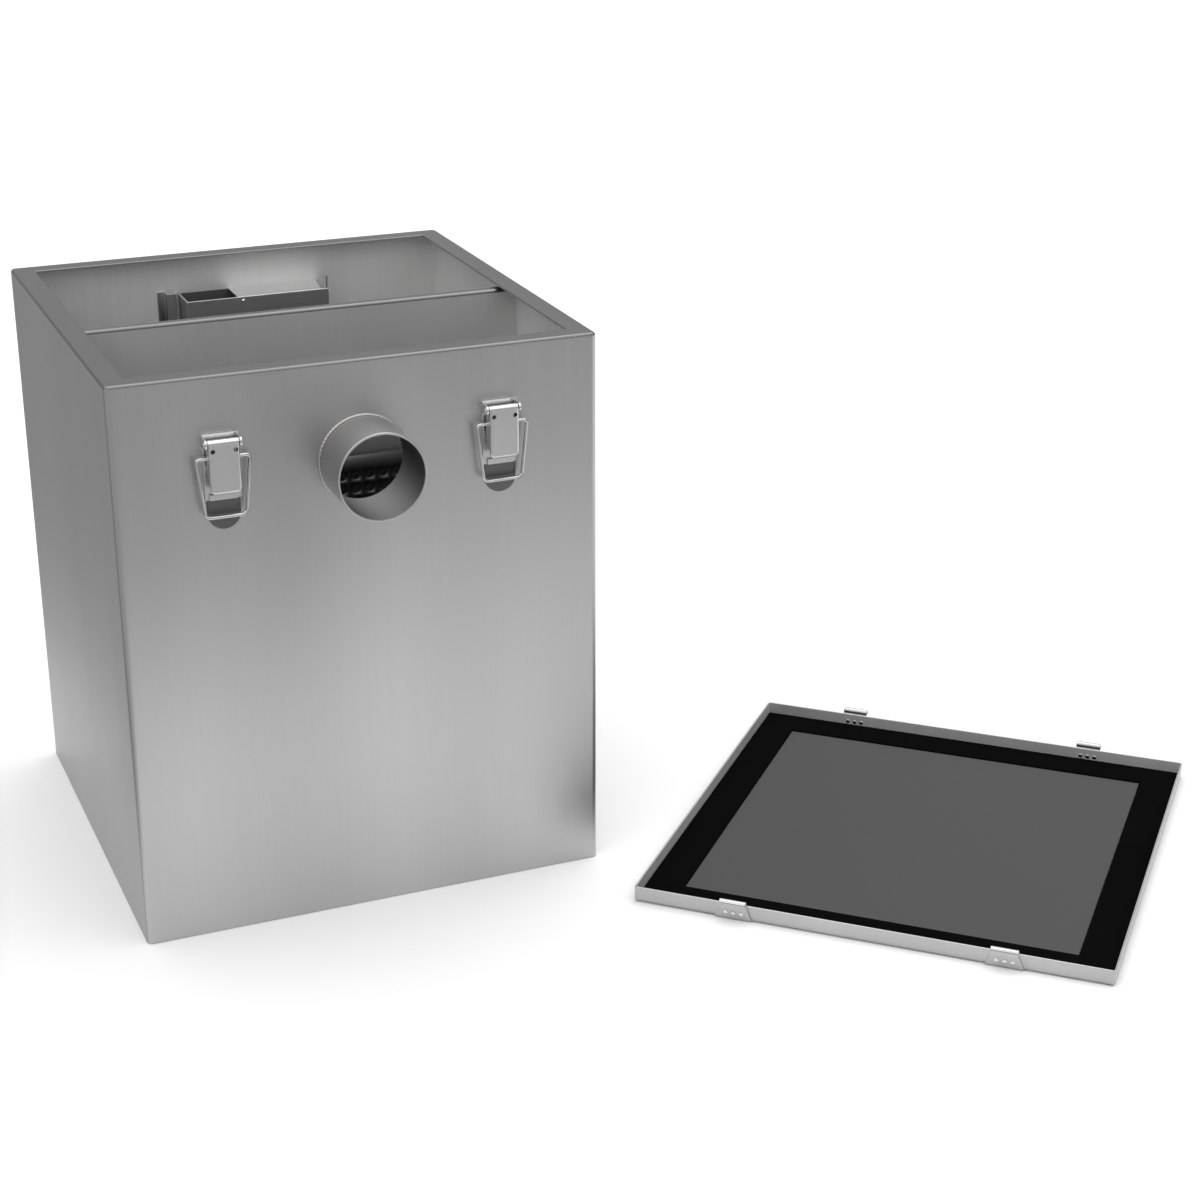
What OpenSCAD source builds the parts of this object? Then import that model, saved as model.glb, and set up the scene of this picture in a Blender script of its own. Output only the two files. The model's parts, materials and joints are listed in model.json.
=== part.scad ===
// Stainless steel grease trap: an open tank with its lift-off lid lying upside down beside it.
// Waste water enters the inlet spigot at the front (-Y), drops its solids in a basket, passes
// under a baffle and leaves through a box that draws from low down, out of the rear (+Y).
// The origin is the centre of the tank's base, +Z points up, and sizes are in millimetres.

/* [Tank] */
// Width of the tank, left to right
tank_w = 420; // [400:10:520]
// Depth of the tank, front to rear
tank_d = 420; // [410:10:520]
// Height of the tank, floor to rim
tank_h = 500; // [480:10:640]
// Thickness of the tank's sheet
sheet = 2; // [1.5:0.5:3]
// Outside radius of the tank's upright bends
bend_r = 5; // [4:1:8]
// Width of the flange that turns inward around the rim
rim_w = 20; // [16:1:24]

/* [Baffle] */
// Distance of the baffle's front face ahead of the tank's centre
baffle_ahead = 22; // [10:1:40]
// Height of the gap that the water passes through under the baffle
baffle_gap = 60; // [40:5:90]
// Distance of the baffle's top below the rim
baffle_drop = 5; // [4:1:20]
// Width of the lip folded back along the baffle's top
baffle_lip = 9; // [6:1:14]

/* [Spigots] */
// Outside diameter of the inlet and outlet tubes
pipe_od = 76; // [50:1:90]
// Wall thickness of the tubes
pipe_wall = 2; // [1.5:0.5:3]
// How far each tube stands out of the tank
pipe_reach = 52; // [40:1:80]
// Depth of the inlet's axis below the rim
inlet_drop = 86; // [80:1:110]
// How much lower the outlet's axis is than the inlet's
outlet_fall = 30; // [10:1:50]

/* [Outlet box] */
// Left side of the box, measured from the tank's centre
box_left = -54; // [-70:1:-45]
// Right side of the box, measured from the tank's centre
box_right = 86; // [60:1:100]
// How far the box stands forward of the rear wall
box_depth = 38; // [30:1:60]
// Depth of the box's top below the rim
box_drop = 39; // [30:1:41]
// Width of the inspection opening in the box's top
box_mouth = 48; // [30:1:60]
// Height of the box's open bottom above the tank's base
box_gap = 80; // [50:5:120]

/* [Basket] */
// Height of the basket's floor above the tank's base
basket_z = 162; // [140:1:180]
// Height of the basket's walls
basket_h = 195; // [120:5:195]
// Thickness of the basket's sheet
basket_t = 1.2; // [1:0.2:2]

/* [Latches] */
// Distance of each latch from the tank's centre line
latch_x = 120; // [100:1:125]
// Depth of the lever's pin below the rim
latch_drop = 54; // [50:1:58]
// Length of the lever below its pin
lever_len = 42; // [36:1:46]
// Distance of the bail's pivot below the lever's pin
bail_hang = 12.5; // [11:0.5:14]
// Distance from the bail's pivot to the middle of its crossbar
bail_len = 50.7; // [48:0.1:54]
// Diameter of the bail's wire
bail_wire = 3; // [2.5:0.5:3]

/* [Lid] */
// How much wider and deeper the lid is than the tank
lid_over = 6; // [5:1:10]
// Height of the lid's lip, its sheet included
lid_lip = 15; // [12:1:20]
// Thickness of the lid's sheet
lid_t = 1.5; // [1:0.5:2]
// Width of the gasket's band
gasket_w = 34; // [26:1:44]
// Sideways place of the lid's centre on the floor
lid_x = 508; // [500:1:700]
// Front to rear place of the lid's centre on the floor
lid_y = -290; // [-400:1:-200]
// Turn of the lid on the floor, in degrees
lid_turn = -42.9; // [-50:0.1:-35]

/* [Hidden] */
$fn = 48;

// Tank
half_w = tank_w / 2;
half_d = tank_d / 2;
in_w = half_w - sheet;
in_d = half_d - sheet;
wall_h = tank_h - sheet;
rim_x = half_w - rim_w;
rim_y = half_d - rim_w;
// Baffle
baffle_front = -baffle_ahead;
baffle_rear = baffle_front + sheet;
baffle_top = tank_h - baffle_drop;
bracket_leg = 18;
bracket_h = 30;
bracket_zs = [130, 380];
// Spigots
pipe_r = pipe_od / 2;
root_r = pipe_r - 0.5;
inlet_z = tank_h - inlet_drop;
outlet_z = inlet_z - outlet_fall;
inlet_inside = 4;
outlet_inside = 4;
weld_leg = 3;
// Outlet box
box_top = tank_h - box_drop;
box_front = in_d - box_depth;
box_ear = 13;
box_h = box_top - box_gap;
clip_w = 16;
clip_out = 13;
clip_t = 1.2;
clip_h = 60;
// Basket
basket_flange = 6;
basket_side_gap = 3;
basket_fore_gap = 4;
flange_x = rim_x - basket_side_gap;
flange_y0 = -rim_y + basket_fore_gap;
flange_y1 = baffle_front - basket_fore_gap;
basket_x = flange_x - basket_flange;
basket_y0 = flange_y0 + basket_flange;
basket_y1 = flange_y1 - basket_flange;
basket_mid = (basket_y0 + basket_y1) / 2;
basket_top = basket_z + basket_h;
flange_t = 1.5;
rail_leg = 26;
rail_overlap = 10;
handle_r = 2;
handle_z = basket_top + handle_r + 0.3;
handle_arm = (flange_y1 - flange_y0) / 2 - handle_r - 0.5;
handle_bend = 8;
tab_w = 20;
tab_h = 12;
// Running clearance on the radius, for every pin that turns in a hole
run = 0.05;
// Latches, drawn at a pin on z = 0 with the wall's face on y = 0
latch_z = tank_h - latch_drop;
base_t = 1.5;
base_w = 30.8;
tongue_r = 14;
tongue_end = 76;
ear_t = 2;
ear_r = 4.2;
pin_r = 1.5;
pin_y = -9.5;
pin_head = 1;
knuckle_r = 3.6;
knuckle_x = 13;
lever_t = 1.5;
lever_front = pin_y - knuckle_r;
lever_corner = 4;
relief_r = 2.4;
flange_in = -4.4;
bail_r = bail_wire / 2;
bail_y = -7.5;
bail_top_x = 22.5;
bail_low_x = 17;
bail_bend = 4.5;
rivet_r = 1.6;
rivet_head_r = 3;
rivet_head = 1;
rivet_zs = [-19, -36];
// Lid, drawn upside down about its own centre with its outer face on z = 0
lid_half_w = (tank_w + lid_over) / 2;
lid_half_d = (tank_d + lid_over) / 2;
lid_corner = 3;
gasket_gap = 0.5;
gasket_t = 2.5;
liner_t = 1;
liner_gap = 0.4;
strike_t = 1.2;
strike_foot = 1;
strike_foot_w = 34;
strike_neck_w = 24;
hook_rise = 5;
hook_in_r = 1.9;
hook_drop = 3.5;
dimple_pitch = 7;
dimple_r = 2.1;
dimple_z = 6.5;
dimple_head = 1;

// A sheet outline with round corners
module round_rect(half_x, half_y, r) {
    square([2 * half_x, 2 * (half_y - r)], center = true);
    square([2 * (half_x - r), 2 * half_y], center = true);
    for (sx = [-1, 1], sy = [-1, 1])
        translate([sx * (half_x - r), sy * (half_y - r)]) circle(r);
}

// A cylinder along X, centred on the origin
module bar_x(r, length) {
    rotate([0, 90, 0]) cylinder(r = r, h = length, center = true);
}

// A cylinder along Y, from y0 to y1
module bar_y(r, y0, y1) {
    translate([0, y0, 0]) rotate([-90, 0, 0]) cylinder(r = r, h = y1 - y0);
}

// An outline in Y and Z, drawn as a plate of thickness t whose low X face is at x
module side_plate(x, t) {
    translate([x, 0, 0]) rotate([90, 0, 90]) linear_extrude(t) children();
}

// An outline in X and Z, drawn as a plate from y0 towards +Y
module face_plate(y0, t) {
    translate([0, y0 + t, 0]) rotate([90, 0, 0]) linear_extrude(t) children();
}

function direction(a, b) = (b - a) / norm(b - a);
function turn(d1, d2) = acos(d1 * d2);

// The points of a wire's line, with each inner corner cut back to two points, as far from the
// corner as a bend of radius bend would start
function cut_corners(pts, bend) = [
    pts[0],
    for (i = [1 : len(pts) - 2])
        let (d1 = direction(pts[i - 1], pts[i]), d2 = direction(pts[i], pts[i + 1]),
             back = bend * tan(turn(d1, d2) / 2))
        each [pts[i] - d1 * back, pts[i] + d2 * back],
    pts[len(pts) - 1]
];

// The point of a band's edge beside point b, w to the left of the line from a over b to c
function beside(a, b, c, w) =
    let (d1 = direction(a, b), d2 = direction(b, c), left = [-d1[1] - d2[1], d1[0] + d2[0]])
    b + left * (2 * w / (left * left));

// A band's edge, w to the left of a line of points
function edge_line(pts, w) = [
    for (i = [0 : len(pts) - 1])
        let (a = i == 0 ? 2 * pts[0] - pts[1] : pts[i - 1],
             c = i == len(pts) - 1 ? 2 * pts[i] - pts[i - 1] : pts[i + 1])
        beside(a, pts[i], c, w)
];

// A wire loop in X and Y: a U of square section, whose legs end in round pins along X. The legs
// are top_x from the middle at their pins and low_x at the crossbar, which is drop below.
module wire_loop(top_x, low_x, tip_x, drop, r, bend) {
    pts = cut_corners([[-top_x, r], [-low_x, -drop], [low_x, -drop], [top_x, r]], bend);
    right = edge_line(pts, -r);
    left = edge_line(pts, r);
    last = len(pts) - 1;
    translate([0, 0, -r]) linear_extrude(2 * r)
        polygon(concat(right, [for (i = [0 : last]) left[last - i]]));
    for (s = [-1, 1]) translate([s * (top_x + tip_x) / 2, 0, 0]) bar_x(r, abs(top_x - tip_x));
}

// ---- Tank ----

module tank_floor() {
    color("silver") linear_extrude(sheet) square([2 * in_w, 2 * in_d], center = true);
}

// The front or rear wall, with half of an upright bend at each end, up to the rim's flange
module end_wall(pipe_z) {
    difference() {
        linear_extrude(wall_h) {
            translate([-(half_w - bend_r), -half_d]) square([2 * (half_w - bend_r), sheet]);
            for (s = [-1, 1]) translate([s * (half_w - bend_r), -(half_d - bend_r)]) intersection() {
                difference() {
                    circle(bend_r);
                    circle(bend_r - sheet);
                }
                translate([s > 0 ? 0 : -bend_r, -bend_r]) square(bend_r);
            }
        }
        translate([0, 0, pipe_z]) bar_y(root_r, -half_d - 1, -in_d + 1);
        for (s = [-1, 1], z = rivet_zs)
            translate([s * latch_x, 0, latch_z + z]) bar_y(rivet_r, -half_d - 1, -in_d + 1);
    }
}

module tank_front_wall() {
    color("silver") end_wall(inlet_z);
}

module tank_rear_wall() {
    color("silver") rotate([0, 0, 180]) end_wall(outlet_z);
}

module side_wall(s) {
    translate([s > 0 ? in_w : -half_w, -(half_d - bend_r), 0])
        cube([sheet, 2 * (half_d - bend_r), wall_h]);
}

module tank_left_wall() {
    color("silver") side_wall(-1);
}

module tank_right_wall() {
    color("silver") side_wall(1);
}

// One mitred length of the flange that turns inward around the rim
module rim_strip(corners) {
    translate([0, 0, wall_h]) linear_extrude(sheet) intersection() {
        round_rect(half_w, half_d, bend_r);
        polygon(corners);
    }
}

module rim_front() {
    color("silver")
        rim_strip([[-half_w, -half_d], [half_w, -half_d], [rim_x, -rim_y], [-rim_x, -rim_y]]);
}

module rim_rear() {
    color("silver")
        rim_strip([[-half_w, half_d], [-rim_x, rim_y], [rim_x, rim_y], [half_w, half_d]]);
}

module rim_left() {
    color("silver")
        rim_strip([[-half_w, -half_d], [-rim_x, -rim_y], [-rim_x, rim_y], [-half_w, half_d]]);
}

module rim_right() {
    color("silver")
        rim_strip([[half_w, -half_d], [half_w, half_d], [rim_x, rim_y], [rim_x, -rim_y]]);
}

// ---- Baffle ----

module baffle_plate() {
    color("lightgray") {
        translate([-in_w, baffle_front, baffle_gap])
            cube([2 * in_w, sheet, baffle_top - baffle_gap]);
        translate([-in_w, baffle_rear, baffle_top - sheet])
            cube([2 * in_w, baffle_lip - sheet, sheet]);
    }
}

// Four small angles that hold the baffle's rear face to the side walls
module baffle_brackets() {
    color("gray") for (s = [-1, 1], z = bracket_zs) translate([0, baffle_rear, z]) {
        translate([s > 0 ? in_w - bracket_leg : -in_w, 0, 0]) cube([bracket_leg, sheet, bracket_h]);
        translate([s > 0 ? in_w - sheet : -in_w, 0, 0]) cube([sheet, bracket_leg, bracket_h]);
    }
}

// ---- Spigots ----

// A tube through the front wall, inside being how far it stands into the tank. Its root is turned
// down a little to seat in the wall's hole.
module spigot(inside) {
    difference() {
        union() {
            bar_y(pipe_r, -half_d - pipe_reach, -half_d - weld_leg);
            bar_y(root_r, -half_d - weld_leg, -in_d + inside);
        }
        bar_y(pipe_r - pipe_wall, -half_d - pipe_reach - 1, -in_d + inside + 1);
    }
}

// The bead around the root of a spigot
module weld_bead() {
    translate([0, -half_d, 0]) rotate([90, 0, 0]) rotate_extrude()
        polygon([[root_r, 0], [pipe_r + weld_leg, 0], [pipe_r, weld_leg], [root_r, weld_leg]]);
}

module inlet_pipe() {
    color("silver") translate([0, 0, inlet_z]) spigot(inlet_inside);
}

module inlet_weld() {
    color("gray") translate([0, 0, inlet_z]) weld_bead();
}

module outlet_pipe() {
    color("silver") translate([0, 0, outlet_z]) rotate([0, 0, 180]) spigot(outlet_inside);
}

module outlet_weld() {
    color("gray") translate([0, 0, outlet_z]) rotate([0, 0, 180]) weld_bead();
}

// ---- Outlet box ----

module outlet_box_front() {
    color("gray") translate([box_left, box_front, box_gap]) cube([box_right - box_left, sheet, box_h]);
}

module outlet_box_left() {
    color("gray") translate([box_left, box_front + sheet, box_gap])
        cube([sheet, box_depth - sheet, box_h]);
}

// The right side rises to an ear at the front
module outlet_box_right() {
    y0 = box_front + sheet;
    color("gray") side_plate(box_right - sheet, sheet)
        polygon([[y0, box_gap], [in_d, box_gap], [in_d, box_top], [y0, box_top + box_ear]]);
}

module outlet_box_cover() {
    x0 = box_left + sheet + box_mouth;
    color("silver") translate([x0, box_front + sheet, box_top - sheet])
        cube([box_right - sheet - x0, box_depth - sheet, sheet]);
}

// A folded hat-section clip between the rear wall and the box's left side
module outlet_box_clip() {
    x0 = box_left - clip_w;
    flat = 4;
    crest = clip_w - flat;
    color("silver") translate([x0, in_d, box_top - clip_h + 3]) linear_extrude(clip_h) {
        translate([-flat, -clip_t]) square([2 * flat, clip_t]);
        translate([flat - clip_t, -clip_out]) square([clip_t, clip_out]);
        translate([flat - clip_t, -clip_out]) square([crest - 4 + clip_t, clip_t]);
        translate([clip_w - 4 - clip_t, -clip_out]) square([clip_t, clip_out - 5]);
        translate([clip_w - 4 - clip_t, -5 - clip_t]) square([4 + clip_t, clip_t]);
    }
}

module outlet_box_rivet() {
    color("white") translate([box_left + sheet + box_mouth + 5, box_front, box_top - 4])
        rotate([90, 0, 0]) cylinder(r = 1.8, h = 1.2);
}

// ---- Basket ----

module basket_rail(s) {
    x0 = basket_x - rail_overlap;
    translate([s > 0 ? x0 : -in_w, basket_y0, basket_z - sheet])
        cube([in_w - x0, basket_y1 - basket_y0, sheet]);
    translate([s > 0 ? in_w - sheet : -in_w, basket_y0, basket_z - rail_leg])
        cube([sheet, basket_y1 - basket_y0, rail_leg - sheet]);
}

module basket_rail_left() {
    color("gray") basket_rail(-1);
}

module basket_rail_right() {
    color("gray") basket_rail(1);
}

module basket_floor() {
    color("lightgray") translate([-basket_x, basket_y0, basket_z])
        cube([2 * basket_x, basket_y1 - basket_y0, basket_t]);
}

module basket_long_side(y) {
    translate([-basket_x, y, basket_z + basket_t]) cube([2 * basket_x, basket_t, basket_h - basket_t]);
}

module basket_front() {
    color("lightgray") basket_long_side(basket_y0);
}

module basket_rear() {
    color("lightgray") basket_long_side(basket_y1 - basket_t);
}

// An end of the basket, with a tab above the rim that holds the handle
module basket_end(x) {
    side_plate(x, basket_t) difference() {
        union() {
            translate([basket_y0 + basket_t, basket_z + basket_t])
                square([basket_y1 - basket_y0 - 2 * basket_t, basket_h - basket_t]);
            translate([basket_mid - tab_w / 2, basket_top]) square([tab_w, tab_h - tab_w / 4]);
            translate([basket_mid - tab_w / 4, basket_top]) square([tab_w / 2, tab_h]);
            for (s = [-1, 1])
                translate([basket_mid + s * tab_w / 4, basket_top + tab_h - tab_w / 4]) circle(tab_w / 4);
        }
        translate([basket_mid, handle_z]) circle(handle_r + run);
    }
}

module basket_left() {
    color("lightgray") basket_end(-basket_x);
}

module basket_right() {
    color("lightgray") basket_end(basket_x - basket_t);
}

// The flange that stiffens the basket's top edge
module basket_rim() {
    color("silver") translate([0, 0, basket_top - flange_t]) linear_extrude(flange_t) difference() {
        translate([-flange_x, flange_y0]) square([2 * flange_x, flange_y1 - flange_y0]);
        translate([-basket_x, basket_y0]) square([2 * basket_x, basket_y1 - basket_y0]);
    }
}

// The handle folded forward, its ends through the tabs
module basket_handle() {
    leg_x = basket_x - basket_t - handle_r - 6;
    tip_x = basket_x + 1.5;
    color("silver") translate([0, basket_mid, handle_z])
        wire_loop(leg_x, leg_x, tip_x, handle_arm, handle_r, handle_bend);
}

// ---- Latches ----

// Puts a latch on the front (rear = false) or rear wall, on the left (s = -1) or right (s = 1)
module place_latch(rear, s) {
    rotate([0, 0, rear ? 180 : 0]) translate([(rear ? -s : s) * latch_x, -half_d, latch_z])
        children();
}

module base_holes() {
    for (z = rivet_zs) translate([0, 0, z]) bar_y(rivet_r, -base_t - 1, 1);
}

// The plate against the wall, with its two ears, a step and a round tongue
module latch_base() {
    tongue_z = -(tongue_end - tongue_r);
    step_z = -50;
    color("lightgray") difference() {
        union() {
            face_plate(-base_t, base_t) {
                translate([-base_w / 2, step_z]) square([base_w, ear_r + 1.8 - step_z]);
                translate([-tongue_r, tongue_z]) square([2 * tongue_r, step_z - tongue_z]);
                translate([0, tongue_z]) circle(tongue_r);
            }
            translate([-12, -base_t - 2, step_z]) cube([24, 2, 5]);
            for (x = [-base_w / 2, base_w / 2 - ear_t]) side_plate(x, ear_t) {
                translate([pin_y, -ear_r]) square([-base_t - pin_y, 2 * ear_r]);
                translate([pin_y, 0]) circle(ear_r);
            }
        }
        translate([0, pin_y, 0]) bar_x(pin_r, base_w + 2);
        base_holes();
    }
}

module latch_pin() {
    color("white") translate([0, pin_y, 0]) {
        bar_x(pin_r, base_w);
        for (s = [-1, 1]) translate([s * (base_w + pin_head) / 2, 0, 0]) bar_x(pin_r + 1, pin_head);
    }
}

// The handle plate with its knuckle, side flanges and rolled finger edge
module latch_lever() {
    fold_y = lever_front + lever_t;
    color("gainsboro") difference() {
        union() {
            translate([0, pin_y, 0]) bar_x(knuckle_r, 2 * knuckle_x);
            face_plate(lever_front, lever_t) {
                translate([-knuckle_x, -lever_len + lever_corner])
                    square([2 * knuckle_x, lever_len - lever_corner]);
                translate([-knuckle_x + lever_corner, -lever_len])
                    square([2 * (knuckle_x - lever_corner), lever_corner]);
                for (s = [-1, 1])
                    translate([s * (knuckle_x - lever_corner), -lever_len + lever_corner])
                        circle(lever_corner);
            }
            for (x = [-knuckle_x, knuckle_x - lever_t]) side_plate(x, lever_t)
                polygon([[fold_y, 0], [pin_y, 0], [flange_in, -6], [flange_in, -22],
                         [fold_y + 1.5, -lever_len + lever_corner], [fold_y, -lever_len + lever_corner]]);
            translate([0, lever_front, -lever_len + 1.2]) bar_x(1.2, 2 * (knuckle_x - lever_corner));
        }
        translate([0, pin_y, 0]) bar_x(pin_r + run, 2 * knuckle_x + 2);
        translate([0, bail_y, -bail_hang]) bar_x(bail_r + run, 2 * knuckle_x + 2);
        for (s = [-1, 1]) translate([s * 9, 0, -knuckle_r - relief_r - 0.6])
            bar_y(relief_r, lever_front - 1, fold_y + 1);
    }
}

// The wire loop, hanging from the lever's flanges
module latch_bail() {
    tip_x = knuckle_x - lever_t - 1.5;
    color("silver") translate([0, bail_y, -bail_hang]) rotate([90, 0, 0])
        wire_loop(bail_top_x, bail_low_x, tip_x, bail_len, bail_r, bail_bend);
}

module latch_base_front_left() {
    place_latch(false, -1) latch_base();
}

module latch_base_front_right() {
    place_latch(false, 1) latch_base();
}

module latch_base_rear_left() {
    place_latch(true, -1) latch_base();
}

module latch_base_rear_right() {
    place_latch(true, 1) latch_base();
}

module latch_pin_front_left() {
    place_latch(false, -1) latch_pin();
}

module latch_pin_front_right() {
    place_latch(false, 1) latch_pin();
}

module latch_pin_rear_left() {
    place_latch(true, -1) latch_pin();
}

module latch_pin_rear_right() {
    place_latch(true, 1) latch_pin();
}

module lever_front_left() {
    place_latch(false, -1) latch_lever();
}

module lever_front_right() {
    place_latch(false, 1) latch_lever();
}

module lever_rear_left() {
    place_latch(true, -1) latch_lever();
}

module lever_rear_right() {
    place_latch(true, 1) latch_lever();
}

module bail_front_left() {
    place_latch(false, -1) latch_bail();
}

module bail_front_right() {
    place_latch(false, 1) latch_bail();
}

module bail_rear_left() {
    place_latch(true, -1) latch_bail();
}

module bail_rear_right() {
    place_latch(true, 1) latch_bail();
}

// Two rivets a latch, through its base and the wall
module latch_rivets() {
    color("white") for (rear = [false, true], s = [-1, 1], z = rivet_zs)
        place_latch(rear, s) translate([0, 0, z]) {
            bar_y(rivet_head_r, -base_t - rivet_head, -base_t);
            bar_y(rivet_r, -base_t, sheet);
            bar_y(rivet_head_r, sheet, sheet + rivet_head);
        }
}

// ---- Lid ----

module place_lid() {
    translate([lid_x, lid_y, 0]) rotate([0, 0, lid_turn]) children();
}

module lid_pan() {
    color("silver") place_lid() difference() {
        linear_extrude(lid_lip) round_rect(lid_half_w, lid_half_d, lid_corner);
        translate([0, 0, lid_t]) linear_extrude(lid_lip)
            round_rect(lid_half_w - lid_t, lid_half_d - lid_t, lid_corner - lid_t);
        for (far = [false, true], s = [-1, 1], k = [-1 : 1]) place_strike(far, s)
            translate([k * dimple_pitch, 0, dimple_z]) bar_y(dimple_r / 2, -1, lid_t + 1);
    }
}

module lid_gasket() {
    x = lid_half_w - lid_t - gasket_gap;
    y = lid_half_d - lid_t - gasket_gap;
    color("black") place_lid() translate([0, 0, lid_t]) linear_extrude(gasket_t) difference() {
        square([2 * x, 2 * y], center = true);
        square([2 * (x - gasket_w), 2 * (y - gasket_w)], center = true);
    }
}

module lid_liner() {
    edge = lid_t + gasket_gap + gasket_w + liner_gap;
    color("dimgray") place_lid() translate([0, 0, lid_t]) linear_extrude(liner_t)
        square([2 * (lid_half_w - edge), 2 * (lid_half_d - edge)], center = true);
}

// Puts a strike on the lid's near or far lip, whose outer face is then y = 0
module place_strike(far, s) {
    rotate([0, 0, far ? 180 : 0]) translate([(far ? -s : s) * latch_x, -lid_half_d, 0]) children();
}

// A plate that narrows towards the lip's edge and ends in an outward hook
module strike(far, s) {
    neck_z = lid_lip - 2;
    hook_z = lid_lip + hook_rise - hook_in_r - strike_t;
    hook_y = -strike_t - hook_in_r;
    half_neck = strike_neck_w / 2;
    half_foot = strike_foot_w / 2;
    color("gainsboro") place_lid() place_strike(far, s) difference() {
        union() {
            face_plate(-strike_t, strike_t)
                polygon([[-half_foot, strike_foot], [half_foot, strike_foot], [half_neck, neck_z],
                         [half_neck, hook_z], [-half_neck, hook_z], [-half_neck, neck_z]]);
            side_plate(-half_neck, strike_neck_w) {
                intersection() {
                    difference() {
                        translate([hook_y, hook_z]) circle(hook_in_r + strike_t);
                        translate([hook_y, hook_z]) circle(hook_in_r);
                    }
                    translate([hook_y - 5, hook_z]) square([10, 5]);
                }
                translate([hook_y - hook_in_r - strike_t, hook_z - hook_drop])
                    square([strike_t, hook_drop]);
            }
        }
        for (k = [-1 : 1])
            translate([k * dimple_pitch, 0, dimple_z]) bar_y(dimple_r / 2, -strike_t - 1, 1);
    }
}

module strike_near_left() {
    strike(false, -1);
}

module strike_near_right() {
    strike(false, 1);
}

module strike_far_left() {
    strike(true, -1);
}

module strike_far_right() {
    strike(true, 1);
}

// Three round-headed rivets a strike, through its plate and the lid's lip
module strike_rivets() {
    color("white") place_lid() for (far = [false, true], s = [-1, 1], k = [-1 : 1])
        place_strike(far, s) translate([k * dimple_pitch, 0, dimple_z]) {
            bar_y(dimple_r, -strike_t - dimple_head, -strike_t);
            bar_y(dimple_r / 2, -strike_t, lid_t);
            bar_y(dimple_r, lid_t, lid_t + dimple_head / 2);
        }
}

tank_floor();
tank_front_wall();
tank_rear_wall();
tank_left_wall();
tank_right_wall();
rim_front();
rim_rear();
rim_left();
rim_right();
baffle_plate();
baffle_brackets();
inlet_pipe();
inlet_weld();
outlet_pipe();
outlet_weld();
outlet_box_front();
outlet_box_left();
outlet_box_right();
outlet_box_cover();
outlet_box_clip();
outlet_box_rivet();
basket_rail_left();
basket_rail_right();
basket_floor();
basket_front();
basket_rear();
basket_left();
basket_right();
basket_rim();
basket_handle();
latch_base_front_left();
latch_base_front_right();
latch_base_rear_left();
latch_base_rear_right();
latch_pin_front_left();
latch_pin_front_right();
latch_pin_rear_left();
latch_pin_rear_right();
lever_front_left();
lever_front_right();
lever_rear_left();
lever_rear_right();
bail_front_left();
bail_front_right();
bail_rear_left();
bail_rear_right();
latch_rivets();
lid_pan();
lid_gasket();
lid_liner();
strike_near_left();
strike_near_right();
strike_far_left();
strike_far_right();
strike_rivets();
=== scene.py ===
# %% [markdown]
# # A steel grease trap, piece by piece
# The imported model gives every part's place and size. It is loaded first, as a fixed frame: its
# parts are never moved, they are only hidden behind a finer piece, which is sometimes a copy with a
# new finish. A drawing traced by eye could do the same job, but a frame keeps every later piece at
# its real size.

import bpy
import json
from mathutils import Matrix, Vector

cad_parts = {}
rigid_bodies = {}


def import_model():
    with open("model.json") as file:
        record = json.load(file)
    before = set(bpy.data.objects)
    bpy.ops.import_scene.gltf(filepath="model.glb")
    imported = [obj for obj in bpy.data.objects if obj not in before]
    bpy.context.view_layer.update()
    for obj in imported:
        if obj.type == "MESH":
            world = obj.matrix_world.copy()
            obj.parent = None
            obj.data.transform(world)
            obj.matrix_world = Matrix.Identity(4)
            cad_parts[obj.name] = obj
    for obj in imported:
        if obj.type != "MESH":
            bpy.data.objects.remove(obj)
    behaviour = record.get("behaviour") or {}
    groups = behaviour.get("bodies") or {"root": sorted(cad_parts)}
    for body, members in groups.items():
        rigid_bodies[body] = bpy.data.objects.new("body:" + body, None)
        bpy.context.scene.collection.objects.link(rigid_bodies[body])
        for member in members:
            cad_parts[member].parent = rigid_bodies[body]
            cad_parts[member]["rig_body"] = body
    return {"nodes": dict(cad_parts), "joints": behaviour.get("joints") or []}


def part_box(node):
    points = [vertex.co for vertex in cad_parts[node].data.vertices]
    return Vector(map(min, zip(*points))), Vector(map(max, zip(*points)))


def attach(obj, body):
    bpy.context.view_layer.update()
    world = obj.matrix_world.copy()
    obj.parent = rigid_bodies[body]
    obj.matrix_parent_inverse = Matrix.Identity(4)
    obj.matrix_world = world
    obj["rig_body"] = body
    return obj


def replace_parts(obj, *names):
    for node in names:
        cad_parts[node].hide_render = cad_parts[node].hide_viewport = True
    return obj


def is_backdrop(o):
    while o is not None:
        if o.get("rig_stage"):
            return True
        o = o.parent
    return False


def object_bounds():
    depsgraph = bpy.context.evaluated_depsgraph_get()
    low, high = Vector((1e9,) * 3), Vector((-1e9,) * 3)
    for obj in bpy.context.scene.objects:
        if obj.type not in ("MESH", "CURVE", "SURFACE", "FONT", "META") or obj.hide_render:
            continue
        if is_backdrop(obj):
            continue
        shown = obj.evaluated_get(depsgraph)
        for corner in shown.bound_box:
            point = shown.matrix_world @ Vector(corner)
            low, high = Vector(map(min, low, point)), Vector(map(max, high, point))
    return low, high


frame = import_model()
cad_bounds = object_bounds()

# %% Tools and measures
import json
import math

import bmesh
import bpy
import numpy as np

MM = 0.001


def corners(node):
    """The lowest and highest corner of a part, as two arrays in metres."""
    low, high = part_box(node)
    return np.array(low), np.array(high)


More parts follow.
